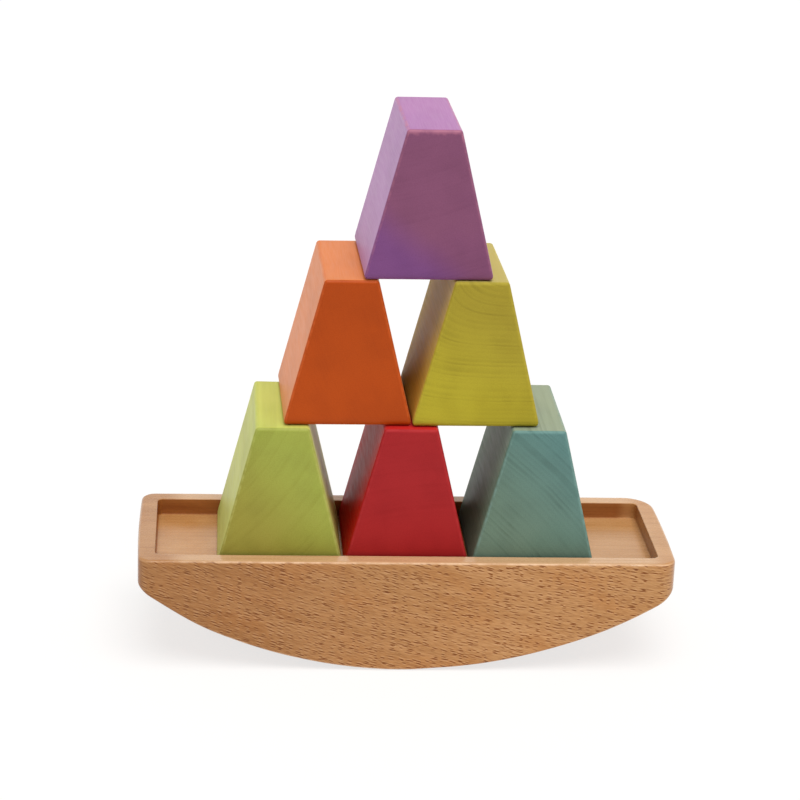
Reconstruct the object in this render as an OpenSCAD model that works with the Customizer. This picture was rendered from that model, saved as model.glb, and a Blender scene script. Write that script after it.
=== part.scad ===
// Balancing toy: a beech rocker board with a shallow tray, and six equal stained wedge blocks
// stacked three, two and one in it. Every block is loose and is lifted off by hand.
// Millimetres, +Z up. X runs along the rocker and Y runs from its front face to its back face.
// The origin is the lowest line of the curved underside, below the middle of the board.

/* [Rocker] */
// Length of the rocker from end to end
rocker_len = 234.8; // [185:0.2:300]
// Height of the rocker from its lowest line to the top of its rim
rocker_h = 51; // [40:0.5:65]
// Height of each end face, from where the curved underside would meet it to the top of the rim
end_h = 14.8; // [12:0.1:18]
// Width of the rim round the tray
rim_w = 7.9; // [6:0.1:12]
// Depth of the tray below the rim
tray_depth = 7.2; // [4:0.1:10]
// Radius of the rocker's front left corner, seen from above
front_left_corner_r = 6; // [4:0.5:14]
// Radius of the rocker's front right corner, seen from above
front_right_corner_r = 8; // [4:0.5:14]
// Radius of the rocker's back right corner, seen from above
back_right_corner_r = 13; // [4:0.5:14]
// Radius of the rocker's back left corner, seen from above
back_left_corner_r = 6.5; // [4:0.5:14]
// Radius where each end runs into the curved underside
end_foot_r = 3.5; // [2:0.5:7]
// Radius of the sanded edges of the rocker
rocker_edge_r = 1.25; // [0.75:0.25:3]
// Radius left by the router in the corners of the tray
tray_corner_r = 3; // [1:0.25:5]

/* [Block] */
// Width of a block at its base, with its edges sharp
block_base = 55.6; // [46:0.1:68]
// Width of a block at its top, with its edges sharp
block_top = 22.9; // [18:0.1:28]
// Height of a block
block_h = 65; // [52:1:80]
// Depth of a block, from its front face to its back face
block_depth = 62.4; // [50:0.1:76]
// Radius of the sanded edges of a block
block_edge_r = 1.5; // [1:0.25:3]

/* [Fit and stacking] */
// Clearance between a block and the tray wall, at the front and at the back
tray_gap = 1; // [0.75:0.25:3]
// Gap between the feet of two blocks that stand side by side
side_gap = 0.3; // [0.2:0.1:2]
// Clearance between a block and what it stands on
stack_gap = 0.02; // [0.01:0.01:0.1]
// How far the bottom row is set to the right of the tray's middle
bottom_shift = -0.5; // [-4:0.1:4]
// How far the middle row is set to the right of the bottom row's middle
middle_shift = -0.6; // [-4:0.1:4]
// How far the top block is set to the right of the bottom row's middle
top_shift = 4.2; // [-6:0.1:6]
// How far the middle row is set back
middle_set_back = 3.2; // [0:0.1:5]
// How far the top block is set back
top_set_back = 3.7; // [0:0.1:9]
// Turn of the blocks in the bottom row, in degrees
bottom_turn = -0.4; // [-0.5:0.1:0.5]
// Turn of the blocks in the middle row, in degrees
middle_turn = 1; // [-2:0.1:2]
// Turn of the top block, in degrees
top_turn = 1; // [-2:0.1:2]

/* [Hidden] */
$fn = 96;
// Extra length that lets a cutting or bounding shape run past the faces it works on
over = 5;

// Tray and rocker plan follow the block that has to stand in the tray
tray_w = block_depth + 2 * tray_gap;
tray_len = rocker_len - 2 * rim_w;
rocker_w = tray_w + 2 * rim_w;
tray_z = rocker_h - tray_depth;

// The rocker's corners seen from above, from the back right one over the back left one round to the front
plan_corners = [back_right_corner_r, back_left_corner_r, front_left_corner_r, front_right_corner_r];

// The underside is one arc through the feet of both ends and the lowest line
half_len = rocker_len / 2;
end_rise = rocker_h - end_h;
underside_r = (half_len * half_len + end_rise * end_rise) / (2 * end_rise);
// Middle of the round at an end's foot, which touches the end face and the arc
foot_x = half_len - end_foot_r;
foot_drop = sqrt((underside_r - end_foot_r) * (underside_r - end_foot_r) - foot_x * foot_x);
foot_z = underside_r - foot_drop;

// Slope of a block's sides, and the half width that its rounded foot reaches
side_slope = (block_base - block_top) / 2 / block_h;
side_angle = atan(side_slope);
slant = sqrt(1 + side_slope * side_slope);
foot_half = block_base / 2 - block_edge_r * (side_slope + slant - 1);
block_pitch = 2 * foot_half + side_gap;

// Rectangle about the origin with four rounded corners
module rounded_rectangle(width, height, radius) {
    square([width - 2 * radius, height], center = true);
    square([width, height - 2 * radius], center = true);
    for (x = [-1, 1], y = [-1, 1])
        translate([x * (width / 2 - radius), y * (height / 2 - radius)])
            circle(radius);
}

// Section of the rocker's rim side: square at the foot, rounded at the top outer edge
module rim_section(width, height, radius) {
    square([width - radius, height]);
    square([width, height - radius]);
    translate([width - radius, height - radius])
        circle(radius);
}

// One quarter of an upright plate, with its outer corner rounded and its top edge rounded too
module plate_quarter(reach_x, reach_y, height, corner, edge) {
    straight_x = reach_x - corner;
    straight_y = reach_y - corner;
    cube([straight_x, straight_y, height]);
    translate([straight_x, straight_y, 0])
        rotate([90, 0, 0])
            linear_extrude(straight_y)
                rim_section(corner, height, edge);
    translate([0, straight_y, 0])
        rotate([90, 0, 90])
            linear_extrude(straight_x)
                rim_section(corner, height, edge);
    translate([straight_x, straight_y, 0])
        rotate_extrude(angle = 90)
            rim_section(corner, height, edge);
}

// Upright plate of four quarters, each with its own corner radius, counted from the back right
module rounded_plate(length, width, height, corners, edge) {
    plate_quarter(length / 2, width / 2, height, corners[0], edge);
    rotate(90)
        plate_quarter(width / 2, length / 2, height, corners[1], edge);
    rotate(180)
        plate_quarter(length / 2, width / 2, height, corners[2], edge);
    rotate(270)
        plate_quarter(width / 2, length / 2, height, corners[3], edge);
}

// Side view of the rocker's ends and their round feet; below the feet it runs past the underside
module rocker_outline() {
    past = (underside_r + over) / foot_drop;
    polygon([[0, underside_r], [-foot_x * past, -over], [foot_x * past, -over]]);
    translate([-half_len, foot_z])
        square([rocker_len, rocker_h + over - foot_z]);
    for (x = [-1, 1])
        translate([x * foot_x, foot_z])
            circle(end_foot_r);
}

// Disc whose rim is the underside, with its two edges sanded round
module underside_disc() {
    translate([0, 0, underside_r])
        rotate([90, 0, 0])
            rotate_extrude($fn = 720) {
                translate([0, -rocker_w / 2])
                    square([underside_r - rocker_edge_r, rocker_w]);
                translate([0, -rocker_w / 2 + rocker_edge_r])
                    square([underside_r, rocker_w - 2 * rocker_edge_r]);
                for (y = [-1, 1])
                    translate([underside_r - rocker_edge_r, y * (rocker_w / 2 - rocker_edge_r)])
                        circle(rocker_edge_r);
            }
}

// One board: cut to the arc, rounded, and hollowed by the tray
module rocker() {
    color("burlywood")
        difference() {
            intersection() {
                translate([0, 0, -over])
                    rounded_plate(rocker_len, rocker_w, rocker_h + over, plan_corners, rocker_edge_r);
                rotate([90, 0, 0])
                    linear_extrude(rocker_w + 2 * over, center = true)
                        rocker_outline();
                underside_disc();
            }
            translate([0, 0, tray_z])
                linear_extrude(tray_depth + over)
                    rounded_rectangle(tray_len, tray_w, tray_corner_r);
        }
}

// Front view of a block with its four corners sanded round
module block_outline() {
    r = block_edge_r;
    low = block_base / 2 - side_slope * r - r * slant;
    high = block_top / 2 + side_slope * r - r * slant;
    out_x = r / slant;
    out_z = r * side_slope / slant;
    polygon([
        [-low, 0], [low, 0], [low + out_x, r + out_z], [high + out_x, block_h - r + out_z],
        [high, block_h], [-high, block_h], [-high - out_x, block_h - r + out_z], [-low - out_x, r + out_z]
    ]);
    for (x = [-1, 1]) {
        translate([x * low, r])
            circle(r);
        translate([x * high, block_h - r])
            circle(r);
    }
}

// One wedge block, its base on z = 0, with its front and back edges sanded round too
module wedge_block() {
    reach = block_base + block_h;
    intersection() {
        rotate([90, 0, 0])
            linear_extrude(block_depth + 2 * over, center = true)
                block_outline();
        translate([0, 0, block_h / 2])
            rotate([90, 0, 90])
                linear_extrude(block_base + 2 * over, center = true)
                    rounded_rectangle(block_depth, block_h, block_edge_r);
        side_bounds(reach);
    }
}

// Bounds that round the front and back edges of both sloping sides
module side_bounds(reach) {
    intersection_for(side = [0, 180])
        rotate(side)
            translate([block_base / 2, 0, 0])
                rotate([0, -side_angle, 0])
                    translate([-reach / 2, 0, 0])
                        linear_extrude(2 * reach, center = true)
                            rounded_rectangle(reach, block_depth, block_edge_r);
}

// A block set down: shift from the bottom row's middle, set back, row above the tray floor, and turn
module placed_block(shift, set_back, row, turn) {
    translate([bottom_shift + shift, set_back, tray_z + row * block_h + (row + 1) * stack_gap])
        rotate(turn)
            wedge_block();
}

module block_green() { color("yellowgreen") placed_block(-block_pitch, 0, 0, bottom_turn); }
module block_red() { color("firebrick") placed_block(0, 0, 0, bottom_turn); }
module block_teal() { color("cadetblue") placed_block(block_pitch, 0, 0, bottom_turn); }

module block_orange() {
    color("chocolate")
        placed_block(middle_shift - block_pitch / 2, middle_set_back, 1, middle_turn);
}

module block_yellow() {
    color("goldenrod")
        placed_block(middle_shift + block_pitch / 2, middle_set_back, 1, middle_turn);
}

module block_purple() { color("mediumorchid") placed_block(top_shift, top_set_back, 2, top_turn); }

rocker();
block_green();
block_red();
block_teal();
block_orange();
block_yellow();
block_purple();
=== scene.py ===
# %% [markdown]
# # A wooden balancing toy
# A beech rocker with a shallow tray carries six stained wedge blocks, stacked three, two and one.
# The construction is already packed as a frame in metres, so this lesson is about looks: rounded
# meshes that follow the frame, wood made from nodes, plain soft light and a camera.

# %% Load the frame
import math
from collections import namedtuple
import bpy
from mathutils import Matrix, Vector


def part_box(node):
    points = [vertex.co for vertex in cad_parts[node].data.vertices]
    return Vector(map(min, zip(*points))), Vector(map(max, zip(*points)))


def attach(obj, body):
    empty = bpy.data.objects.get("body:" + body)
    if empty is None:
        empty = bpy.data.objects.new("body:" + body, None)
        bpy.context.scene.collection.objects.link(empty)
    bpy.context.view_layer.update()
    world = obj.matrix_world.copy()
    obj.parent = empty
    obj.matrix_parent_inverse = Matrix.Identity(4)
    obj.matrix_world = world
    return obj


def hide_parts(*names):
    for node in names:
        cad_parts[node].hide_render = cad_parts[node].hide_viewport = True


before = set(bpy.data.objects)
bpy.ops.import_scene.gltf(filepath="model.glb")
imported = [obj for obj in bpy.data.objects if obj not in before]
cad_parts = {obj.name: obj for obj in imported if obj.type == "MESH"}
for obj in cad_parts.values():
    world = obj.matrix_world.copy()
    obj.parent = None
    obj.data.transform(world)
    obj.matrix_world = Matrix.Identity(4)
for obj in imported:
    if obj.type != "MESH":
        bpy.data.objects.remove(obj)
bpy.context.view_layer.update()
from types import SimpleNamespace
import bmesh
import bpy
from mathutils import Color, Matrix, Vector, noise

mm = 0.001


def in_mm(length):
    """A length as a rounded number of millimetres, for printing."""
    return round(length / mm, 2)


# %% [markdown]
# ## Sizes
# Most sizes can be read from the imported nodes: the rocker's box gives the board, and the first block's
# box gives the floor of the tray and the height of a block. What a box can't tell, such as the radius
# of a sanded edge, is written here once, in millimetres, as it would be on a workshop drawing.

# %% Sizes of the board and the blocks
rocker_low, rocker_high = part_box("rocker")
block_low, block_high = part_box("block_green")
board_length = rocker_high.x - rocker_low.x
board_width = rocker_high.y - rocker_low.y
rim_top = rocker_high.z
stack_gap = 0.02 * mm
tray_floor = block_low.z - stack_gap
block_height = block_high.z - block_low.z
block_base = 55.6 * mm
block_top = 22.9 * mm
block_depth = 62.4 * mm
block_edge = 1.5 * mm
rim_width = 7.9 * mm
end_height = 14.8 * mm
print("tray depth:", in_mm(rim_top - tray_floor), "mm")
print("block height:", in_mm(block_height), "mm")

# %% [markdown]
# ## Camera
# The picture is taken from a little above and a little to the left, with a long lens, so the wedges
# hardly narrow towards the back. A camera could be aimed with a Track To constraint, but that leaves no
# room for the slight tilt of the picture. Here its three axes are worked out from turn, dip and tilt and
# go straight into its matrix.

# %% Place the camera
camera_place = Vector((-90.51, -1063.75, 485.46)) * mm
camera_turn = math.radians(4.66)
camera_dip = math.radians(19.32)
camera_tilt = math.radians(-2.249)
camera_lens = 116.37

forward = Vector((math.sin(camera_turn) * math.cos(camera_dip),
                  math.cos(camera_turn) * math.cos(camera_dip),
                  -math.sin(camera_dip)))
level_right = Vector((math.cos(camera_turn), -math.sin(camera_turn), 0))
level_down = forward.cross(level_right)
picture_right = level_right * math.cos(camera_tilt) + level_down * math.sin(camera_tilt)
picture_up = level_right * math.sin(camera_tilt) - level_down * math.cos(camera_tilt)

camera_data = bpy.data.cameras.new("picture_camera")
camera_data.lens = camera_lens
camera = bpy.data.objects.new("picture_camera", camera_data)
bpy.context.scene.collection.objects.link(camera)
axes = Matrix((picture_right, picture_up, -forward)).transposed()
camera.matrix_world = Matrix.Translation(camera_place) @ axes.to_4x4()
bpy.context.scene.camera = camera
print("camera distance from the origin:", in_mm(camera_place.length), "mm")

# %% [markdown]
# ## Meshes from rows of points
# Both kinds of piece are solid wood with sanded edges. A Bevel modifier could round them, but it rounds
# every edge by the same offset, and the sloping sides need a true radius. So each piece is laid out as
# rows of points, the rows are joined by four-sided faces, and points that fall together are merged.
# Sanding by hand leaves a surface that is never quite flat, so every point is then pushed a little way
# in, more along the edges than on the faces, and never out, which keeps the piece in its frame.

# %% Rows of points into a closed shape
merge_distance = 0.01 * mm


def join_rows(shape, rows, closed=False):
    """Joins rows of points by four-sided faces; a closed row also joins its last point to its first."""
    corners = [[shape.verts.new(point) for point in row] for row in rows]
    count = len(rows[0])
    last = count if closed else count - 1
    for lower, upper in zip(corners, corners[1:]):
        for index in range(last):
            after = (index + 1) % count
            shape.faces.new((lower[index], lower[after], upper[after], upper[index]))


def clean(shape):
    """Merges points that fall together, drops faces without area, turns faces out and counts gaps."""
    bmesh.ops.remove_doubles(shape, verts=shape.verts[:], dist=merge_distance)
    bmesh.ops.dissolve_degenerate(shape, edges=shape.edges[:], dist=merge_distance)
    bmesh.ops.recalc_face_normals(shape, faces=shape.faces[:])
    print("faces:", len(shape.faces), "open edges:", sum(edge.is_boundary for edge in shape.edges))


print("points closer than", in_mm(merge_distance), "mm are merged")

# %% A shape into a sanded piece
face_waves = 0.05 * mm
edge_waves = 0.16 * mm
face_wave_length = 24 * mm
edge_wave_length = 7 * mm


def sand(shape, nearness, start):
    """Pushes each point in by slow waves; nearness gives how close to an edge a point lies, from 0 to 1."""
    shape.normal_update()
    inward = {}
    for point in shape.verts:
        slow = noise.noise(point.co / face_wave_length + start)
        quick = noise.noise(point.co / edge_wave_length + start)
        depth = face_waves * (1 + slow) / 2 + edge_waves * nearness(point.co) * (1 + quick) / 2
        inward[point] = point.normal * depth
    for point, step in inward.items():
        point.co -= step


def make_piece(name, shape, marks):
    """Makes a smooth object from the shape; marks are named functions that give each point a number."""
    mesh = bpy.data.meshes.new(name)
    shape.to_mesh(mesh)
    shape.free()
    mesh.shade_smooth()
    for mark, measure in marks.items():
        layer = mesh.attributes.new(mark, "FLOAT", "POINT")
        layer.data.foreach_set("value", [measure(point.co) for point in mesh.vertices])
    piece = bpy.data.objects.new(name, mesh)
    bpy.context.scene.collection.objects.link(piece)
    return piece


print("sanding waves:", in_mm(face_waves), "mm on faces,", in_mm(edge_waves), "mm more along edges")

# %% Two helpers for shares of a length


def smooth_step(value, start, end):
    """Rises smoothly from 0 at start to 1 at end."""
    share = min(1, max(0, (value - start) / (end - start)))
    return share * share * (3 - 2 * share)


def spread(length, step, support):
    """Shares from 0 to 1 along a length, about a step apart, with a support line close to each end."""
    count = max(2, round(length / step))
    inner = [index / count for index in range(1, count)]
    close = support / length
    return [0, close] + [share for share in inner if close < share < 1 - close] + [1 - close, 1]


print("a quarter of the way along, a smooth step has risen to", smooth_step(0.25, 0, 1))

# %% [markdown]
# ## A wedge block
# Each block is a solid wedge, sawn from a plank and sanded until a finger feels no corner. A cube with its
# top scaled in could be the start, but its bevels would be uneven where a side slopes. A ball that rolls
# inside the wedge and touches its faces leaves just such an edge as the sanding does. So the builder takes
# the smaller wedge that the middle of the ball can reach, and sets every point one radius away from it:
# straight out on a face, half way between two directions on an edge, and between three on a corner. The
# edges round the foot were sanded rounder than the rest, so points there are drawn in further.

# %% The wedge's faces and the smaller wedge inside it
side_slope = (block_base - block_top) / 2 / block_height
side_lean = math.atan(side_slope)
directions = {
    "left": Vector((-math.cos(side_lean), 0, math.sin(side_lean))),
    "right": Vector((math.cos(side_lean), 0, math.sin(side_lean))),
    "front": Vector((0, -1, 0)),
    "back": Vector((0, 1, 0)),
    "bottom": Vector((0, 0, -1)),
    "top": Vector((0, 0, 1)),
}
sides = ("left", "right")
ends = ("front", "back")
levels = ("bottom", "top")
span_lengths = {sides: block_base, ends: block_depth, levels: block_height}
face_spans = {
    "front": (sides, levels),
    "back": (sides, levels),
    "left": (ends, levels),
    "right": (ends, levels),
    "bottom": (sides, ends),
    "top": (sides, ends),
}


def inner_corner(*faces):
    """Corner of the smaller wedge, one edge radius inside each of the three faces that meet there."""
    z = block_edge if "bottom" in faces else block_height - block_edge
    y = block_depth / 2 - block_edge
    x = block_base / 2 - side_slope * z - block_edge / math.cos(side_lean)
    return Vector((-x if "left" in faces else x, -y if "front" in faces else y, z))


print("side leans in by", round(math.degrees(side_lean), 2), "degrees")

# %% Distances inside the wedge
wear_start = 0.2 * block_edge
wear_end = 1.3 * block_edge


def side_distance(point):
    """How far a point lies inside the nearer sloping side of the sharp wedge."""
    return (block_base / 2 - side_slope * point.z - abs(point.x)) * math.cos(side_lean)


def end_distance(point):
    """How far a point lies inside the nearer of the wedge's front and back."""
    return block_depth / 2 - abs(point.y)


def wedge_edge_nearness(point):
    """1 on an edge of the wedge, falling to 0 where a hand with sandpaper no longer reaches round it."""
    distances = (side_distance(point), end_distance(point), point.z, block_height - point.z)
    second_nearest = sorted(distances)[1]
    return 1 - smooth_step(second_nearest, wear_start, wear_end)


print("edges are worn over", in_mm(wear_end), "mm")

# %% One face of the wedge, with its share of the edges
block_grid = 2 * mm
edge_support = 0.5 * mm
edge_steps = 5
quarter_turn = math.pi / 2


def lean(share):
    """How much of a neighbour's direction to add to a face's, to turn a share of the way to their edge."""
    return math.tan(share * quarter_turn / 2)


def stations(span):
    """Places across a face: round its first edge, over the flat, and round its second edge."""
    first, second = span
    turns = [step / edge_steps for step in range(edge_steps, 0, -1)]
    before = [(0, first, lean(share)) for share in turns]
    flat = [(share, first, 0) for share in spread(span_lengths[span], block_grid, edge_support)]
    after = [(1, second, lean(share)) for share in reversed(turns)]
    return before + flat + after


def add_wedge_face(shape, face):
    """Adds one face of the wedge with its half of every edge and its third of every corner."""
    across, along = face_spans[face]
    corners = [[inner_corner(face, a, b) for a in across] for b in along]
    rows = []
    for rise, beyond, rise_lean in stations(along):
        row = []
        for share, beside, share_lean in stations(across):
            lower = corners[0][0].lerp(corners[0][1], share)
            upper = corners[1][0].lerp(corners[1][1], share)
            out = directions[face] + directions[beyond] * rise_lean + directions[beside] * share_lean
            row.append(lower.lerp(upper, rise) + out.normalized() * block_edge)
        rows.append(row)
    join_rows(shape, rows)


print("each wedge edge is turned in", 2 * edge_steps, "steps")

# %% The rounder foot and the whole wedge
foot_round = 3 * mm


def way_in(point):
    """How far a point lies inside the wedge's rounded walls, and the way straight in from them."""
    side_gap = side_distance(point)
    end_gap = end_distance(point)
    from_side = -directions["right" if point.x > 0 else "left"]
    from_end = -directions["back" if point.y > 0 else "front"]
    both = from_side * max(0, block_edge - side_gap) + from_end * max(0, block_edge - end_gap)
    if side_gap < block_edge and end_gap < block_edge:
        return block_edge - both.length, both.normalized()
    return (side_gap, from_side) if side_gap < end_gap else (end_gap, from_end)


def round_the_foot(shape):
    """Draws the points round the base in, onto the foot's larger round."""
    for point in shape.verts:
        gap, inward = way_in(point.co)
        across = max(0, foot_round - gap)
        below = max(0, foot_round - point.co.z)
        reach = math.hypot(across, below)
        if reach > foot_round:
            share = 1 - foot_round / reach
            point.co += (inward * across + directions["top"] * below) * share


def make_wedge(name, start):
    """One sanded wedge block, standing on its own origin."""
    shape = bmesh.new()
    for face in face_spans:
        add_wedge_face(shape, face)
    clean(shape)
    round_the_foot(shape)
    sand(shape, wedge_edge_nearness, start)
    return make_piece(name, shape, {"edge": wedge_edge_nearness})


print("the foot is rounded to", in_mm(foot_round), "mm, the other edges to", in_mm(block_edge), "mm")

# %% [markdown]
# ## Setting the blocks down
# The six blocks are alike. Linked copies of one mesh would be lighter, but no two hand-sanded blocks are
# quite the same, so the builder makes each one anew, with other sanding waves. A block's place is the
# middle of its node's box, and its row gives the slight turn with which it was set down. Each piece rides
# on its body, and its node's own mesh is hidden.

# %% Make the six blocks
block_names = ("green", "red", "teal", "orange", "yellow", "purple")
row_turns = (math.radians(-0.4), math.radians(1), math.radians(1))
next_waves = Vector((1, 2, -1))
blocks = {}
for number, colour in enumerate(block_names):
    low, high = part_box("block_" + colour)
    row = round((low.z - tray_floor) / block_height)
    block = make_wedge(colour + "_wedge", next_waves * number)
    block.location = ((low.x + high.x) / 2, (low.y + high.y) / 2, low.z)
    block.rotation_euler.z = row_turns[row]
    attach(block, colour + "_block")
    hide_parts("block_" + colour)
    blocks[colour] = block
    print(block.name, "stands in row", row)

# %% [markdown]
# ## The rocker's outlines
# The rocker is one thick beech board: sawn to an arc below, rounded at its corners, and hollowed by a
# router to make the tray. A Boolean modifier could cut the tray out, but it leaves long thin faces that
# spoil smooth shading. Seen from above, the board's outside and the tray are both rectangles with rounded
# corners, and the board's four corners were sanded by hand, each to a radius of its own. One list of
# stations round such a rectangle serves both, so that their points pair up and the rim between them
# closes without odd faces.

# %% Stations round the board
front_right_corner = 8 * mm
back_right_corner = 13 * mm
back_left_corner = 6.5 * mm
front_left_corner = 6 * mm
plan_corners = (front_right_corner, back_right_corner, back_left_corner, front_left_corner)
station_step = 3 * mm
corner_steps = 8
Station = namedtuple("Station", "side end facing corner")


def round_the_board():
    """Stations with their shares of the half length and half width, way out, and corner radius."""
    found = []
    for quarter, corner in enumerate(plan_corners):
        before = plan_corners[quarter - 1]
        facing = (quarter - 1) * quarter_turn
        out_x = round(math.cos(facing))
        out_y = round(math.sin(facing))
        span = board_length if quarter % 2 == 0 else board_width
        count = round((span - 2 * max(plan_corners)) / station_step)
        for index in range(count):
            along = 2 * index / count - 1
            radius = before + (corner - before) * index / count
            found.append(Station(out_x - along * out_y, out_y + along * out_x, facing, radius))
        for index in range(corner_steps):
            turned = facing + index / corner_steps * quarter_turn
            found.append(Station(out_x - out_y, out_y + out_x, turned, corner))
    return found


board_stations = round_the_board()
print("stations round the board:", len(board_stations))

# %% Points on the board's and the tray's outlines
tray_length = board_length - 2 * rim_width
tray_width = board_width - 2 * rim_width
tray_corner = 3 * mm
end_bow = 0.8 * mm


def on_outline(station, length, width, corner, inset):
    """The station's point on a rounded rectangle that is drawn in by an inset, seen from above."""
    x = station.side * (length / 2 - corner) + (corner - inset) * math.cos(station.facing)
    y = station.end * (width / 2 - corner) + (corner - inset) * math.sin(station.facing)
    return Vector((x, y, 0))


def on_board(station, inset=0):
    """The station's point on the board's outline, whose ends are sanded to a slight bow."""
    place = on_outline(station, board_length, board_width, station.corner, inset)
    place.x *= 1 - end_bow / (board_length / 2) * (place.y / (board_width / 2)) ** 2
    return place


def on_tray(station, inset=0):
    """The station's point on the tray's outline."""
    return on_outline(station, tray_length, tray_width, tray_corner, inset)


def at_height(place, height):
    """The point above or below a place, at a height."""
    return Vector((place.x, place.y, height))


def quarter_round(steps):
    """Sine and cosine at each step of a quarter turn."""
    turns = [step / steps * quarter_turn for step in range(steps + 1)]
    return [(math.sin(turn), math.cos(turn)) for turn in turns]


print("the tray is", in_mm(tray_length), "by", in_mm(tray_width), "mm")

# %% [markdown]
# ## The rocker's builder
# From each station a line of points runs over the whole board: from the middle of the tray floor up the
# routed wall, over the rim, down the side, round the bottom edge and back to the middle of the underside.
# The arc below is the one circle through the feet of both ends and the lowest line. The bottom edge is
# rolled by a ball again. The ball grows from the sanded edge's radius on the long sides to the larger one
# at the feet, which is what a belt sander leaves there and what a bevel of one width could not follow. The
# sander also took a little more off the left foot and off the right half of the arc, so the underside
# lies slightly above the true circle there.

# %% From the middle of the tray to the lip
tray_lip = 0.4 * mm
floor_fillet = 0.3 * mm
floor_shares = (0, 0.2, 0.4, 0.6, 0.8, 0.95, 0.985)
fillet_steps = 4
lip_steps = 3
wall_steps = 3


def tray_line(station):
    """From the middle of the tray floor, up the wall and over the lip."""
    middle = Vector((station.side * (tray_length - tray_width) / 2, 0, tray_floor))
    foot = at_height(on_tray(station, floor_fillet), tray_floor)
    line = [middle.lerp(foot, share) for share in floor_shares]
    for sine, cosine in quarter_round(fillet_steps):
        place = on_tray(station, floor_fillet * (1 - sine))
        line.append(at_height(place, tray_floor + floor_fillet * (1 - cosine)))
    wall_low = tray_floor + floor_fillet
    wall_high = rim_top - tray_lip
    for step in range(1, wall_steps):
        line.append(at_height(on_tray(station), wall_low + (wall_high - wall_low) * step / wall_steps))
    for sine, cosine in quarter_round(lip_steps):
        place = on_tray(station, -tray_lip * (1 - cosine))
        line.append(at_height(place, wall_high + tray_lip * sine))
    return line


print("points from the tray's middle to its lip:", len(tray_line(board_stations[0])))

# %% Over the rim
board_edge = 1.25 * mm
rim_shares = spread(rim_width, block_grid, edge_support)[1:-1]


def rim_line(station):
    """Across the flat of the rim and over its outer edge."""
    inner = at_height(on_tray(station, -tray_lip), rim_top)
    outer = at_height(on_board(station, board_edge), rim_top)
    line = [inner.lerp(outer, share) for share in rim_shares]
    for sine, cosine in quarter_round(edge_steps):
        place = on_board(station, board_edge * (1 - sine))
        line.append(at_height(place, rim_top - board_edge * (1 - cosine)))
    return line


print("points over the rim:", len(rim_line(board_stations[0])))

# %% The arc of the underside
end_rise = rim_top - end_height
arc_radius = ((board_length / 2) ** 2 + end_rise ** 2) / (2 * end_rise)
left_foot_sanding = 1.7 * mm
left_foot_zone = (86 * mm, 113 * mm)
right_half_sanding = 0.5 * mm
right_half_start = (-6 * mm, 16 * mm)
right_half_end = (62 * mm, 90 * mm)


def sanded_off(x):
    """How much more the sander took off the underside at x."""
    left_foot = smooth_step(-x, *left_foot_zone)
    right_half = smooth_step(x, *right_half_start) - smooth_step(x, *right_half_end)
    return left_foot_sanding * left_foot + right_half_sanding * right_half


def arc_height(x, inset=0):
    """Height of the underside at x, or of the same curve drawn in by an inset."""
    return arc_radius - math.sqrt((arc_radius - inset) ** 2 - x ** 2) + sanded_off(x)


print("arc radius of the underside:", in_mm(arc_radius), "mm")

# %% Down the side and along the underside
foot_edge = 3.5 * mm
side_shares = (0.03, 0.12, 0.24, 0.36, 0.48, 0.6, 0.72, 0.84, 0.94, 0.985)
under_shares = (0.02, 0.1, 0.25, 0.45, 0.7, 1)


def side_line(station):
    """Down the side, round the bottom edge and to the middle of the underside."""
    facing = Vector((math.cos(station.facing), math.sin(station.facing), 0))
    ball = board_edge + (foot_edge - board_edge) * facing.x ** 2
    wall = on_board(station)
    centre = wall - facing * ball
    centre.z = arc_height(centre.x, ball)
    start = at_height(wall, rim_top - board_edge)
    finish = at_height(wall, centre.z)
    line = [start.lerp(finish, share) for share in side_shares]
    below = (centre - Vector((0, centre.y, arc_radius))).normalized()
    for step in range(edge_steps + 1):
        line.append(centre + facing.slerp(below, step / edge_steps) * ball)
    foot = line[-1]
    middle = Vector((station.side * (board_length - board_width) / 2, 0, 0))
    for share in under_shares:
        place = foot.lerp(middle, share)
        line.append(at_height(place, arc_height(place.x)))
    return line


print("points from the rim to the middle of the underside:", len(side_line(board_stations[0])))

# %% [markdown]
# ## Marks on the rocker
# A finish needs to know where the edges are and where the router cut. Nodes could guess edges from the
# curvature of the mesh, but then the guess changes with every change of the mesh. It is steadier to
# measure the distance to the known edges here and keep it as an attribute on the points.

# %% Measure the edges and the routed wall
lip_reach = 0.9 * mm
edge_core = 0.2 * board_edge
edge_reach = 1.9 * mm
lip_wear = 0.3


def corner_at(point):
    """Radius of the board's corner in the quarter where a point lies."""
    if point.y < 0:
        return front_right_corner if point.x > 0 else front_left_corner
    return back_right_corner if point.x > 0 else back_left_corner


def rounded_distance(point, length, width, corner):
    """Distance from a point to a rounded rectangle seen from above, negative inside it."""
    x = abs(point.x) - length / 2 + corner
    y = abs(point.y) - width / 2 + corner
    outside = math.hypot(max(x, 0), max(y, 0))
    return outside + min(max(x, y), 0) - corner


def lip_distance(point):
    """Distance from a point to the tray's outline, seen from above."""
    return abs(rounded_distance(point, tray_length, tray_width, tray_corner))


def board_edge_nearness(point):
    """1 on the rim's outer edge and the bottom edge, less on the tray's lip, falling to 0 on the faces."""
    side = -rounded_distance(point, board_length, board_width, corner_at(point))
    top = rim_top - point.z
    under = arc_radius - math.hypot(point.x, arc_radius - point.z)
    near_outer = 1 - smooth_step(max(side, min(top, under)), edge_core, edge_reach)
    near_inner = lip_wear * (1 - smooth_step(max(lip_distance(point), top), 0, lip_reach))
    return max(near_outer, near_inner)


def tray_wall_share(point):
    """1 on the routed wall of the tray, 0 elsewhere."""
    near = 1 - smooth_step(lip_distance(point), floor_fillet, 2 * floor_fillet)
    return near * (1 - smooth_step(point.z, rim_top - tray_lip, rim_top))


print("edges are marked over", in_mm(edge_reach), "mm")

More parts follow.
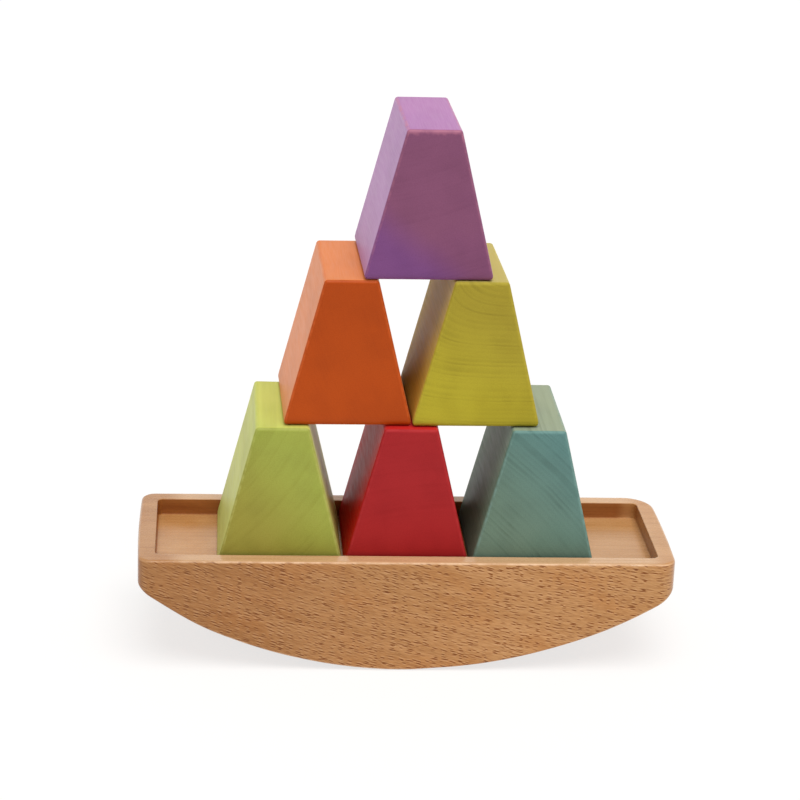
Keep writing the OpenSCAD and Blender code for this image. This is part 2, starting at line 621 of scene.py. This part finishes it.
# %% Make the rocker
board_waves = Vector((9, 4, 7))
board_marks = {"edge": board_edge_nearness, "tray_wall": tray_wall_share}
board_lines = [tray_line(place) + rim_line(place) + side_line(place) for place in board_stations]
board_shape = bmesh.new()
join_rows(board_shape, list(zip(*board_lines, strict=True)), closed=True)
clean(board_shape)
sand(board_shape, board_edge_nearness, board_waves)
rocker = make_piece("beech_rocker", board_shape, board_marks)
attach(rocker, "rocker")
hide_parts("rocker")
print(rocker.name, "has", len(board_lines), "lines of", len(board_lines[0]), "points")

# %% [markdown]
# ## Nodes in plain steps
# A wood finish is a long chain of small nodes. Written out one by one it hides the idea, so a small bench
# adds a node and links it in one call, and a finish then reads as a list of steps. Colours are written as
# they look on a screen, from 0 to 255, and turned into the linear values that shaders use.

# %% A bench for building finishes
to_millimetres = 1 / mm
noise_middle = 0.5
fine_detail = 3.0


def screen_colour(red, green, blue):
    """A colour as it looks on a screen, as the linear value that a shader takes."""
    linear = Color((red / 255, green / 255, blue / 255)).from_srgb_to_scene_linear()
    return (*linear, 1)


class Bench:
    """The nodes of a material or a world, with calls that add a node, link it and hand back its output."""

    def __init__(self, owner):
        owner.use_nodes = True
        self.tree = owner.node_tree
        self.shader = self.tree.nodes.get("Principled BSDF")

    def put(self, socket, value):
        """Links an output to a socket, or sets the socket's own value."""
        if isinstance(value, bpy.types.NodeSocket):
            self.tree.links.new(value, socket)
        else:
            socket.default_value = value

    def shade(self, **inputs):
        """Puts values on the shader's own sockets, whose names are written with underscores."""
        for socket, value in inputs.items():
            self.put(self.shader.inputs[socket.replace("_", " ")], value)

    def add(self, kind, inputs, **settings):
        """Adds a node with its settings and its inputs, named or numbered."""
        node = self.tree.nodes.new(kind)
        for setting, value in settings.items():
            setattr(node, setting, value)
        for socket, value in inputs.items():
            self.put(node.inputs[socket], value)
        return node

    def maths(self, operation, first, second=0.0):
        """One step of arithmetic."""
        return self.add("ShaderNodeMath", {0: first, 1: second}, operation=operation).outputs[0]

    def product(self, first, *others):
        """Two numbers or more, multiplied."""
        for other in others:
            first = self.maths("MULTIPLY", first, other)
        return first

    def vector(self, operation, first, second):
        """One step of arithmetic on a vector."""
        return self.add("ShaderNodeVectorMath", {0: first, 1: second}, operation=operation).outputs[0]

    def measure(self, operation, first, second=(0, 0, 0)):
        """One number from one vector or two, such as a length or a dot product."""
        return self.add("ShaderNodeVectorMath", {0: first, 1: second}, operation=operation).outputs["Value"]

    def split(self, vector):
        """A vector's three numbers, named X, Y and Z."""
        return self.add("ShaderNodeSeparateXYZ", {0: vector}).outputs

    def join(self, x, y, z=0.0):
        """A vector of three numbers."""
        return self.add("ShaderNodeCombineXYZ", {0: x, 1: y, 2: z}).outputs[0]

    def fade(self, value, start, end, low=0.0, high=1.0):
        """Moves a value smoothly from low at start to high at end."""
        inputs = {0: value, 1: start, 2: end, 3: low, 4: high}
        return self.add("ShaderNodeMapRange", inputs, interpolation_type="SMOOTHSTEP").outputs[0]

    def blend(self, share, first, second):
        """Mixes two colours by a share."""
        inputs = {0: share, 6: first, 7: second}
        return self.add("ShaderNodeMix", inputs, data_type="RGBA").outputs[2]

    def blend_number(self, share, first, second):
        """Mixes two numbers by a share."""
        return self.add("ShaderNodeMix", {0: share, 2: first, 3: second}).outputs[0]

    def tint(self, share, first, second):
        """Multiplies the first colour by the second, by a share."""
        inputs = {0: share, 6: first, 7: second}
        return self.add("ShaderNodeMix", inputs, data_type="RGBA", blend_type="MULTIPLY").outputs[2]

    def clouds(self, place, grain, detail=2.0, output="Fac"):
        """Soft noise whose patches have the given size in millimetres along each axis."""
        inputs = {"Vector": self.vector("DIVIDE", place, grain), "Scale": 1.0, "Detail": detail}
        return self.add("ShaderNodeTexNoise", inputs).outputs[output]

    def place_and_facing(self):
        """The piece's own coordinates in millimetres, and the way its surface faces as three numbers."""
        own = self.add("ShaderNodeTexCoord", {})
        place = self.vector("MULTIPLY", own.outputs["Object"], (to_millimetres,) * 3)
        facing = self.vector("ABSOLUTE", own.outputs["Normal"], (0, 0, 0))
        return place, self.split(facing)

    def mark(self, name):
        """A number that was measured on the mesh's points."""
        return self.add("ShaderNodeAttribute", {}, attribute_name=name).outputs["Fac"]

    def bump(self, height, depth):
        """Gives the shader a relief of the given depth in millimetres."""
        node = self.add("ShaderNodeBump", {"Height": height, "Distance": depth * mm, "Strength": 1.0})
        self.shade(Normal=node.outputs["Normal"])


print("colours are written as screen values, lengths in millimetres")

# %% [markdown]
# ## Growth rings
# The blocks are cut across the plank: their front and back show end grain, where the rings run as arcs,
# and their tops and sides show the same rings from the side, as long straight lines. A flat picture of
# grain on each face would not agree at the edges, and a Wave node draws rings that are all alike. So the
# rings are worked out in space, as tubes round the heart of the tree, and counted in years, which gives
# each ring a width and a strength of its own. Every face then shows the cut that it makes through them.

# %% Years from the heart of the tree
ring_drift = 1.6
ring_drift_size = (30, 160, 30)
ring_rhythm = 0.11
ring_unevenness = 2.6


def ring_years(bench, place, heart, ring_width, squareness):
    """How many years a place lies from the heart, with rings that wander and are not all of one width."""
    cloud = bench.clouds(place, ring_drift_size, output="Color")
    shifted = bench.vector("SUBTRACT", cloud, (noise_middle,) * 3)
    moved = bench.vector("ADD", place, bench.vector("MULTIPLY", shifted, (ring_drift,) * 3))
    axis = bench.split(moved)
    across = bench.maths("ABSOLUTE", bench.maths("SUBTRACT", heart[0], axis["X"]))
    upright = bench.maths("ABSOLUTE", bench.maths("SUBTRACT", heart[1], axis["Z"]))
    powers = [bench.maths("POWER", part, squareness) for part in (across, upright)]
    radius = bench.maths("POWER", bench.maths("ADD", *powers), 1 / squareness)
    beat = {"W": bench.product(radius, ring_rhythm), "Scale": 1.0}
    rhythm = bench.add("ShaderNodeTexNoise", beat, noise_dimensions="1D").outputs["Fac"]
    even_years = bench.maths("DIVIDE", radius, ring_width)
    return bench.maths("ADD", even_years, bench.product(rhythm, ring_unevenness))


print("rings wander by up to", ring_drift / 2, "mm")

# %% Dark rings, each of its own strength
ring_rise = (0.1, 0.75)
ring_fall = (1.0, 0.75)
ring_strengths = (0.0, 1.0, 0.2, 1.0)
ring_patch_size = (14, 60, 14)
ring_patches = (0.35, 0.65, 0.3, 1.0)


def growth_rings(bench, place, years):
    """How dark the growth ring is at each place, from 0 to 1."""
    season = bench.maths("FRACT", years)
    dark = bench.product(bench.fade(season, *ring_rise), bench.fade(season, *ring_fall))
    year = {"W": bench.maths("FLOOR", years)}
    chance = bench.add("ShaderNodeTexWhiteNoise", year, noise_dimensions="1D").outputs["Value"]
    strength = bench.fade(chance, *ring_strengths)
    patchy = bench.fade(bench.clouds(place, ring_patch_size), *ring_patches)
    return bench.product(dark, strength, patchy)


print("a ring is darkest", ring_rise[1], "of the way through its year")

# %% [markdown]
# ## Stained wood
# The colour is a thin water stain under a satin coat. One even colour would look like plastic, so the
# finish is laid on in layers. End grain drinks more stain and turns deeper, and drifts from one colour to
# another across the face; long grain stays paler. The tops and sides each get a colour of their own, which
# also carries painted sheen and shade, set for each block. The stain lies unevenly, rings show through,
# fibres show as specks on the ends and streaks on the sides. Along the edges sanding and play have rubbed
# the stain thin, and at the purple block's top edge they nibbled it away. Each block has its own colours
# and gloss, and its own place in the tree.

# %% The stain and its wear
end_turn = (0.2, 0.55)
top_turn = (0.5, 0.85)
cloud_size = (34, 60, 34)
cloud_fade = (0.42, 0.66)
scuff_size = (3, 3, 3)
scuff_fade = (0.35, 0.65, 0.2, 1.0)
rubbed_edge = (0.3, 0.9)
top_edge_zone = (58, 63)
nibble_zone = (62.6, 65)
nibble_depth = 4


def stain_ground(bench, paint, place, facing, end_share, slant):
    """The stain, with ends that drift to their far colour along the slant, and paler tops and sides whose
    colours also carry painted sheen and shade.
    """
    drift = bench.fade(bench.measure("DOT_PRODUCT", place, slant), 0.0, 1.0)
    end_colour = bench.blend(drift, paint["end"], paint["far"])
    long_colour = bench.blend(bench.fade(facing["Z"], *top_turn), paint["side"], paint["top"])
    colour = bench.blend(end_share, long_colour, end_colour)
    return bench.tint(bench.fade(bench.clouds(place, cloud_size), *cloud_fade), colour, paint["patch"])


def stain_wear(bench, paint, place, end_share, colour, wear, nibbled):
    """The stain rubbed thin along the edges, and nibbled off along the top edge of the ends."""
    height = bench.split(place)["Z"]
    scuffs = bench.clouds(place, scuff_size, fine_detail)
    thin = bench.product(bench.fade(scuffs, *scuff_fade), bench.fade(height, *top_edge_zone, *wear))
    rub = bench.product(bench.fade(bench.mark("edge"), *rubbed_edge), thin)
    uneven = bench.product(bench.maths("SUBTRACT", scuffs, noise_middle), nibble_depth)
    ragged = bench.maths("ADD", height, uneven)
    nibbles = bench.product(bench.fade(ragged, *nibble_zone, 0.0, nibbled), end_share)
    return bench.blend(bench.maths("MAXIMUM", rub, nibbles), colour, paint["worn"])


print("top edges are worn from", top_edge_zone[0], "mm up")

# %% The whole finish of a block
paints = ("end", "far", "top", "side", "worn", "patch", "ring")
fibre_size = (0.5, 16, 0.5)
fibres_by_face = (0.0, 1.0, 0.12, 1.0)
speck_fade = (0.35, 0.75, 0.0, 0.4)
speck_tint = screen_colour(225, 222, 218)
patch_size = (15, 40, 15)
patch_fade = (0.35, 0.7, 0.0, 0.5)
patch_tint = screen_colour(236, 234, 236)
satin = (0.3, 0.7, 0.36, 0.48)
speck_relief = -0.6
ring_relief = -0.3
stain_relief_depth = 0.05


def stained_wood(name, look):
    """Satin stained wood with the colours, rings, wear and gloss of one block's look."""
    material = bpy.data.materials.new(name)
    bench = Bench(material)
    paint = {part: screen_colour(*look[part]) for part in paints}
    place, facing = bench.place_and_facing()
    years = ring_years(bench, place, look["heart"], look["ring_width"], look["squareness"])
    rings = growth_rings(bench, place, years)
    end_share = bench.fade(facing["Y"], *end_turn)
    fibres = bench.clouds(place, fibre_size)
    specks = bench.product(fibres, bench.fade(end_share, *fibres_by_face))
    patches = bench.clouds(place, patch_size, fine_detail)
    colour = stain_ground(bench, paint, place, facing, end_share, look["slant"])
    colour = bench.tint(bench.product(rings, look["ring_show"]), colour, paint["ring"])
    colour = bench.tint(bench.fade(specks, *speck_fade), colour, speck_tint)
    colour = bench.tint(bench.fade(patches, *patch_fade), colour, patch_tint)
    colour = stain_wear(bench, paint, place, end_share, colour, look["wear"], look["nibbled"])
    bench.shade(Base_Color=colour, Roughness=bench.fade(fibres, *satin), Specular_IOR_Level=look["gloss"])
    relief = bench.maths("ADD", bench.product(specks, speck_relief), bench.product(rings, ring_relief))
    bench.bump(relief, stain_relief_depth)
    return material


print("the stain's layers use", len(paints), "colours for each block")

# %% Stain the six blocks
# The top and side colours are partly paler long grain and partly painted sheen and shade, set for each
# block.
block_looks = {
    "green": {"end": (154, 147, 65), "far": (161, 170, 78), "slant": (0.016, 0, 0.016),
              "top": (197, 203, 101), "side": (205, 211, 119), "patch": (248, 252, 242),
              "worn": (200, 200, 120), "wear": (0.35, 0.2), "nibbled": 0, "gloss": 0.05,
              "ring": (205, 200, 170), "ring_show": 0.22, "ring_width": 3.0,
              "heart": (-118, 123), "squareness": 2},
    "red": {"end": (163, 38, 38), "far": (165, 43, 46), "slant": (0, 0, 0.02),
            "top": (195, 40, 38), "side": (185, 17, 14), "patch": (252, 244, 248),
            "worn": (200, 62, 64), "wear": (0.3, 0.3), "nibbled": 0, "gloss": 0.04,
            "ring": (215, 190, 190), "ring_show": 0.16, "ring_width": 2.6,
            "heart": (20, -120), "squareness": 2},
    "teal": {"end": (107, 130, 113), "far": (96, 137, 135), "slant": (0.01, 0, 0.011),
             "top": (149, 160, 135), "side": (113, 140, 118), "patch": (244, 250, 250),
             "worn": (132, 168, 160), "wear": (0.4, 0.3), "nibbled": 0, "gloss": 0.07,
             "ring": (190, 190, 186), "ring_show": 0.45, "ring_width": 2.3,
             "heart": (-200, -170), "squareness": 2},
    "orange": {"end": (181, 74, 15), "far": (175, 70, 13), "slant": (0, 0, 0.015),
               "top": (220, 130, 71), "side": (230, 141, 87), "patch": (253, 250, 246),
               "worn": (212, 100, 46), "wear": (0.45, 0.3), "nibbled": 0, "gloss": 0.12,
               "ring": (226, 206, 196), "ring_show": 0.12, "ring_width": 2.2,
               "heart": (140, 90), "squareness": 2},
    "yellow": {"end": (179, 166, 50), "far": (166, 150, 53), "slant": (0.008, 0, 0.016),
               "top": (187, 172, 93), "side": (202, 174, 75), "patch": (251, 250, 244),
               "worn": (196, 178, 70), "wear": (0.3, 0.2), "nibbled": 0, "gloss": 0.05,
               "ring": (206, 206, 214), "ring_show": 0.5, "ring_width": 2.1,
               "heart": (22, 89), "squareness": 4},
    "purple": {"end": (123, 74, 127), "far": (132, 79, 110), "slant": (0.036, 0, 0.046),
               "top": (174, 118, 169), "side": (184, 136, 186), "patch": (250, 248, 255),
               "worn": (192, 122, 142), "wear": (0.22, 0.6), "nibbled": 0.45, "gloss": 0.13,
               "ring": (222, 212, 222), "ring_show": 0.2, "ring_width": 2.4,
               "heart": (-40, 170), "squareness": 2},
}
for colour, look in block_looks.items():
    blocks[colour].data.materials.append(stained_wood(colour + "_stained_wood", look))
    print("stained", colour, "with rings", look["ring_width"], "mm apart")

# %% [markdown]
# ## Oiled beech
# Beech is pale brown and even. What marks it is its rays: on a face cut like the board's front they are
# short dark dashes, two to four millimetres long, all leaning about the same way. A painted highlight lies
# above and below each dash, where light would catch the edges of its hollow. A Noise node gives streaks
# without ends, so the dashes come from a Voronoi node: each of its cells holds one point, and a slim oval
# round that point is one dash. Two layers of cells lie over each other, for one alone looks like a pattern.
# On the level faces the same wood shows fine long lines, and on the board's two ends specks. The routed
# wall of the tray is darkened with painted shade, less on the wall at the right end. The oil dries to a
# thin clear film, which is the shader's coat.

# %% Where on the board a point lies
grain_slope = 0.245
grain_bend = -0.0004
rim_zone = (46, 49)
level_turn = (0.55, 0.95)
end_face_turn = (0.55, 0.95)
long_side_turn = (0.4, 0.85)


def along_the_grain(bench, place):
    """Coordinates that follow the grain, which slopes down to the right and flattens out on the way."""
    axis = bench.split(place)
    slope = bench.maths("ADD", bench.product(axis["X"], grain_bend), grain_slope)
    height = bench.maths("ADD", axis["Z"], bench.product(axis["X"], slope))
    return bench.join(axis["X"], axis["Y"], height)


def board_zones(bench):
    """Coordinates on the board, and its kinds of face, each 1 where it is and 0 elsewhere."""
    place, facing = bench.place_and_facing()
    axis = bench.split(place)
    wall = bench.mark("tray_wall")
    return SimpleNamespace(
        place=place,
        grain=along_the_grain(bench, place),
        along=axis["X"],
        wall=wall,
        on_rim=bench.fade(axis["Z"], *rim_zone),
        level=bench.fade(facing["Z"], *level_turn),
        ends=bench.fade(facing["X"], *end_face_turn),
        long_side=bench.maths("SUBTRACT", bench.fade(facing["Y"], *long_side_turn), wall),
    )


print("the grain falls by", round(math.degrees(math.atan(grain_slope)), 1), "degrees in the middle")

# %% The ground colour of the beech
band_size = (70, 9, 5)
band_fade = (0.3, 0.7)
darker_band = screen_colour(187, 137, 86)
paler_band = screen_colour(197, 148, 98)
warmth_size = (34, 60, 14)
warmth_fade = (0.4, 0.7)
warm_tint = screen_colour(253, 244, 230)
shade_on_level = (0.0, 1.0, 0.15, 0.65)
shade_zone = (60, -120)
shade_tint = screen_colour(222, 211, 199)
# A painted sheen on the rim's top, fading out at both ends.
left_sheen_zone = (-108, -94, 0.0, 0.5)
right_sheen_zone = (113, 104, 0.15, 1.0)
rim_sheen_colour = screen_colour(222, 186, 148)


def beech_ground(bench, board):
    """Bands and warmer patches, deeper towards the left end, and a painted sheen on the rim's top, fading
    out at both ends.
    """
    bands = bench.clouds(board.grain, band_size, fine_detail)
    warmth = bench.clouds(board.grain, warmth_size)
    level_shade = bench.fade(board.on_rim, *shade_on_level)
    open_face = bench.maths("SUBTRACT", bench.blend_number(board.level, 1.0, level_shade), board.wall)
    shade = bench.product(bench.fade(board.along, *shade_zone), bench.maths("MAXIMUM", open_face, 0.0))
    # Painted sheen on the level top of the rim.
    from_left = bench.fade(board.along, *left_sheen_zone)
    from_right = bench.fade(board.along, *right_sheen_zone)
    rim_sheen = bench.product(from_left, from_right, board.level, board.on_rim)
    colour = bench.blend(bench.fade(bands, *band_fade), darker_band, paler_band)
    colour = bench.tint(bench.fade(warmth, *warmth_fade), colour, warm_tint)
    colour = bench.tint(shade, colour, shade_tint)
    return bench.blend(rim_sheen, colour, rim_sheen_colour)


print("bands in the beech are about", band_size[2], "mm high")

# %% One layer of rays
ray_cell = (4.5, 1.42)
ray_scatter = 0.9
ray_half_length = (0.8, 2.0)
ray_half_thickness = 0.27
ray_fan = 0.16
# How far, in millimetres, the painted highlights lie above and below a dash.
ray_highlight_offset = 0.58
ray_strengths = (0.28, 0.92, 0.1, 1.0)
ray_outline = (1.2, 0.5)


def ray_dashes(bench, grain, start, size):
    """One layer of slim ovals along the grain, one in each cell, and the painted highlights below and above
    them.
    """
    axis = bench.split(grain)
    cell = [side * size for side in ray_cell]
    flat = bench.vector("DIVIDE", bench.join(axis["X"], axis["Z"]), (*cell, 1))
    scaled = bench.vector("ADD", flat, (start, start, 0))
    settings = {"Vector": scaled, "Scale": 1.0, "Randomness": ray_scatter}
    cells = bench.add("ShaderNodeTexVoronoi", settings, voronoi_dimensions="2D").outputs
    from_point = bench.vector("SUBTRACT", scaled, cells["Position"])
    offset = bench.split(bench.vector("MULTIPLY", from_point, (*cell, 0)))
    luck = bench.add("ShaderNodeSeparateColor", {0: cells["Color"]}).outputs
    slope = bench.product(bench.maths("SUBTRACT", luck["Green"], noise_middle), ray_fan)
    height = bench.maths("SUBTRACT", offset["Y"], bench.product(offset["X"], slope))
    half_length = bench.fade(luck["Blue"], 0.0, 1.0, *ray_half_length)
    strength = bench.fade(luck["Red"], *ray_strengths)
    lengthwise = bench.maths("DIVIDE", offset["X"], half_length)
    ovals = []
    for drop in (0, ray_highlight_offset, -ray_highlight_offset):
        lowered = bench.maths("DIVIDE", bench.maths("ADD", height, drop), ray_half_thickness)
        distance = bench.measure("LENGTH", bench.join(lengthwise, lowered))
        ovals.append(bench.product(bench.fade(distance, *ray_outline), strength))
    dash, lower_highlight, upper_highlight = ovals
    return dash, bench.maths("MAXIMUM", lower_highlight, upper_highlight)


print("one ray to every", ray_cell[0], "by", ray_cell[1], "mm")

# %% Rays on the long sides
ray_layers = ((0, 1.0), (40.35, 0.83))
bold_zone = (-120, 40, 0.8, 1.0)
dash_tint = screen_colour(166, 120, 40)
# The pale line beside each dash is a painted highlight, where light would catch the edge of the ray's
# hollow.
highlight_share = 0.35
ray_highlight_colour = screen_colour(222, 178, 132)
streak_size = (4, 16, 0.4)
streak_detail = 1.0
streak_fade = (0.35, 0.7)
streak_tint = screen_colour(234, 226, 215)


def beech_rays(bench, board, colour):
    """Streaks, painted highlights and dashes laid over a colour on the long sides; gives the colour and the
    dashes.
    """
    dashes = 0.0
    ray_highlights = 0.0
    for start, size in ray_layers:
        dash, layer_highlight = ray_dashes(bench, board.grain, start, size)
        dashes = bench.maths("MAXIMUM", dashes, dash)
        ray_highlights = bench.maths("MAXIMUM", ray_highlights, layer_highlight)
    bold = bench.product(board.long_side, bench.fade(board.along, *bold_zone))
    side_dashes = bench.product(dashes, bold)
    side_highlights = bench.product(bench.maths("SUBTRACT", ray_highlights, dashes), bold)
    shown_highlights = bench.product(bench.maths("MAXIMUM", side_highlights, 0.0), highlight_share)
    streaks = bench.clouds(board.grain, streak_size, streak_detail)
    side_streaks = bench.product(bench.fade(streaks, *streak_fade), board.long_side)
    colour = bench.tint(side_streaks, colour, streak_tint)
    colour = bench.blend(shown_highlights, colour, ray_highlight_colour)
    return bench.tint(side_dashes, colour, dash_tint), side_dashes


print("rays lie in", len(ray_layers), "layers")

# %% Lines on the level faces, specks on the ends, wear and painted light
line_size = (45, 0.9, 0.9)
line_fade = (0.42, 0.72, 0.0, 0.6)
line_tint = screen_colour(228, 214, 196)
end_tint = screen_colour(238, 226, 212)
pore_fade = (0.45, 0.8)
pores_by_face = (0.0, 1.0, 0.4, 1.0)
pore_tint = screen_colour(222, 210, 196)
# The routed wall of the tray is darkened with painted shade, less on the wall at the right end.
wall_shade_zone = (100, 106, 1.0, 0.3)
wall_shade_tint = screen_colour(206, 170, 132)
# The paler rubbed edges of the board are partly worn oil and partly a painted highlight along the rounded
# edges.
board_scuff_and_highlight_size = (5, 8, 8)
board_scuff_and_highlight_fade = (0.35, 0.62, 0.2, 1.0)
board_wear_and_highlight_zone = (-115, -60, 0.4, 0.75)
board_rubbed_and_highlit_edge = (0.4, 1.0)
rubbed_and_highlit_beech = screen_colour(224, 186, 148)


def beech_lines(bench, board, colour, pores):
    """Fine lines on the level faces and the routed wall, darker ends, and specks, most on the ends."""
    lines = bench.fade(bench.clouds(board.place, line_size), *line_fade)
    flat_lines = bench.product(lines, bench.maths("MAXIMUM", board.level, board.wall))
    specks = bench.product(bench.fade(pores, *pore_fade), bench.fade(board.ends, *pores_by_face))
    colour = bench.tint(flat_lines, colour, line_tint)
    colour = bench.tint(board.ends, colour, end_tint)
    return bench.tint(specks, colour, pore_tint)


def beech_wear_and_painted_light(bench, board, colour):
    """Painted shade on the routed wall, less at the right end, and edges where the oil is rubbed off, less
    towards the left end; the rubbed edges also carry a painted highlight.
    """
    # Painted shade on the tray's routed wall.
    wall_shade = bench.product(board.wall, bench.fade(board.along, *wall_shade_zone))
    colour = bench.tint(wall_shade, colour, wall_shade_tint)
    # Rubbed edges: partly wear, partly a painted highlight along the rounded edges.
    scuffs = bench.fade(bench.clouds(board.place, board_scuff_and_highlight_size, fine_detail), *board_scuff_and_highlight_fade)
    thin = bench.product(scuffs, bench.fade(board.along, *board_wear_and_highlight_zone))
    rub = bench.product(bench.fade(bench.mark("edge"), *board_rubbed_and_highlit_edge), thin)
    return bench.blend(rub, colour, rubbed_and_highlit_beech)


print("lines on the level faces are about", line_size[1], "mm wide")

# %% Oil the rocker
pore_size = (2.2, 0.35, 0.35)
polish = (0.3, 0.7, 0.22, 0.34)
routed_roughness = 0.8
oil_gloss = 0.16
film_strength = 0.75
film_index = 1.22
film_roughness = 0.24
dash_relief = -0.25
pore_relief = -0.4
beech_relief_depth = 0.04


def oiled_beech(name):
    """Pale beech with rays, lines and specks under a thin film of oil."""
    material = bpy.data.materials.new(name)
    bench = Bench(material)
    board = board_zones(bench)
    pores = bench.clouds(board.grain, pore_size)
    colour, dashes = beech_rays(bench, board, beech_ground(bench, board))
    colour = beech_lines(bench, board, colour, pores)
    colour = beech_wear_and_painted_light(bench, board, colour)
    rough_wall = bench.product(board.wall, routed_roughness)
    roughness = bench.maths("MAXIMUM", bench.fade(pores, *polish), rough_wall)
    bench.shade(Base_Color=colour, Roughness=roughness, Specular_IOR_Level=oil_gloss)
    bench.shade(Coat_Weight=film_strength, Coat_IOR=film_index, Coat_Roughness=film_roughness)
    relief = bench.maths("ADD", bench.product(dashes, dash_relief), bench.product(pores, pore_relief))
    bench.bump(relief, beech_relief_depth)
    return material


rocker.data.materials.append(oiled_beech("oiled_beech"))
print("beech gloss level", oil_gloss, "under a film of index", film_index)

# %% [markdown]
# ## Floor, white surround and lamp
# The toy stands on a pale floor in a white studio. A curved backdrop would need lamps of its own before it
# turned white. Here the floor is plain and matt. For the camera, and for what shines or lets light
# through, floor and surround look white, and the floor keeps the shadow. One large soft lamp hangs
# overhead and the surround fills in the rest, at a level where a colour renders about as it is written.

# %% What is seen directly
white = (1, 1, 1, 1)


def seen_directly(bench):
    """1 for rays from the camera, from a gloss or through glass, and 0 for rays that carry light."""
    path = bench.add("ShaderNodeLightPath", {}).outputs
    by_camera_or_gloss = bench.maths("MAXIMUM", path["Is Camera Ray"], path["Is Glossy Ray"])
    return bench.maths("MAXIMUM", by_camera_or_gloss, path["Is Transmission Ray"])


print("background seen directly:", white[:3])

# %% The floor
floor_size = 30
floor_colour = (0.93, 0.9, 0.87, 1)
floor_lift = 0.73


def make_floor():
    """A wide pale floor that looks white where no shadow falls."""
    shape = bmesh.new()
    bmesh.ops.create_grid(shape, x_segments=1, y_segments=1, size=floor_size / 2)
    floor = make_piece("floor", shape, {})
    material = bpy.data.materials.new("pale_floor")
    bench = Bench(material)
    bench.tree.nodes.remove(bench.shader)
    matt = bench.add("ShaderNodeBsdfDiffuse", {"Color": floor_colour}).outputs[0]
    glow = bench.add("ShaderNodeEmission", {}).outputs[0]
    lift = bench.product(seen_directly(bench), floor_lift)
    both = bench.add("ShaderNodeMixShader", {0: lift, 1: matt, 2: glow}).outputs[0]
    bench.put(bench.tree.nodes["Material Output"].inputs["Surface"], both)
    floor.data.materials.append(material)


make_floor()
print("floor:", floor_size, "m wide")

# %% The surround and the lamp
surround_light = 0.5
surround_seen = 1
lamp_light = 0.75
lamp_softness = math.radians(45)
lamp_tilt = (math.radians(20), math.radians(5), 0)


def make_surround():
    """An even white surround: white to the camera and to gloss, softer as a source of light."""
    world = bpy.data.worlds.new("white_surround")
    bench = Bench(world)
    bench.tree.nodes.remove(bench.tree.nodes["Background"])
    soft = bench.add("ShaderNodeBackground", {"Color": white, "Strength": surround_light}).outputs[0]
    seen = bench.add("ShaderNodeBackground", {"Color": white, "Strength": surround_seen}).outputs[0]
    both = bench.add("ShaderNodeMixShader", {0: seen_directly(bench), 1: soft, 2: seen}).outputs[0]
    bench.put(bench.tree.nodes["World Output"].inputs["Surface"], both)
    bpy.context.scene.world = world


def make_lamp():
    """A wide soft lamp overhead; a lamp that far away lights the floor evenly out to its edge."""
    data = bpy.data.lights.new("overhead_lamp", "SUN")
    data.energy = lamp_light * math.pi
    data.angle = lamp_softness
    lamp = bpy.data.objects.new("overhead_lamp", data)
    lamp.rotation_euler = lamp_tilt
    bpy.context.scene.collection.objects.link(lamp)


make_surround()
make_lamp()
bpy.context.scene.view_settings.view_transform = "Standard"
print("light from above on a level face:", round(surround_light + lamp_light, 2))
